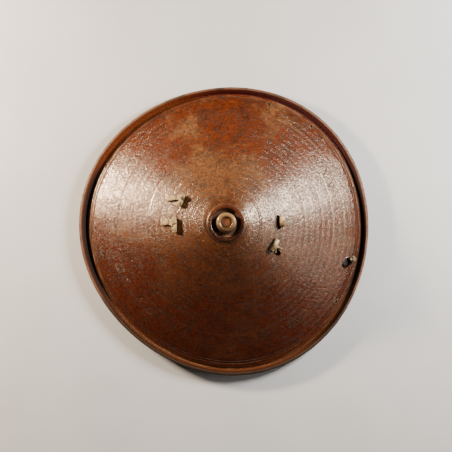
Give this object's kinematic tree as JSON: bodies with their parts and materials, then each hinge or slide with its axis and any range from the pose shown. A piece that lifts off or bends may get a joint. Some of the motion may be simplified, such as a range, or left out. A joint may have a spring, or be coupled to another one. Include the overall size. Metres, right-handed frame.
{
  "type": "leather shield",
  "caption": "Round leather shield: a broad cone of tooled hide with a knobbed boss and an upturned rim, knotted rawhide thongs on its face and a bowed hand grip behind.",
  "frame": {"origin": "on the ground under the middle of the outline's box, with the shield lying face up on the ring under its gutter", "axes": "+Z along the boss's axis, out of the face; +Y towards the picture's top; +X to its right"},
  "size_m": [0.6006, 0.5998, 0.1425],
  "materials": {
    "tooled_hide": "red-brown tanned hide, tooled all over, polished by handling, dark in the grooves and tan where worn",
    "rawhide": "pale stiff rawhide, dry and matt",
    "frayed_rawhide": "grey-tan rawhide, frayed and dusty",
    "grip_hide": "dark brown hide, darkened and polished by the hand"
  },
  "bodies": {
    "root": {"hide": "tooled_hide", "thong_upper_left": "rawhide", "thong_lower_left": "rawhide", "thong_upper_right": "rawhide", "thong_lower_right": "rawhide", "rim_thong": "frayed_rawhide", "hand_grip": "grip_hide"}
  },
  "joints": []
}
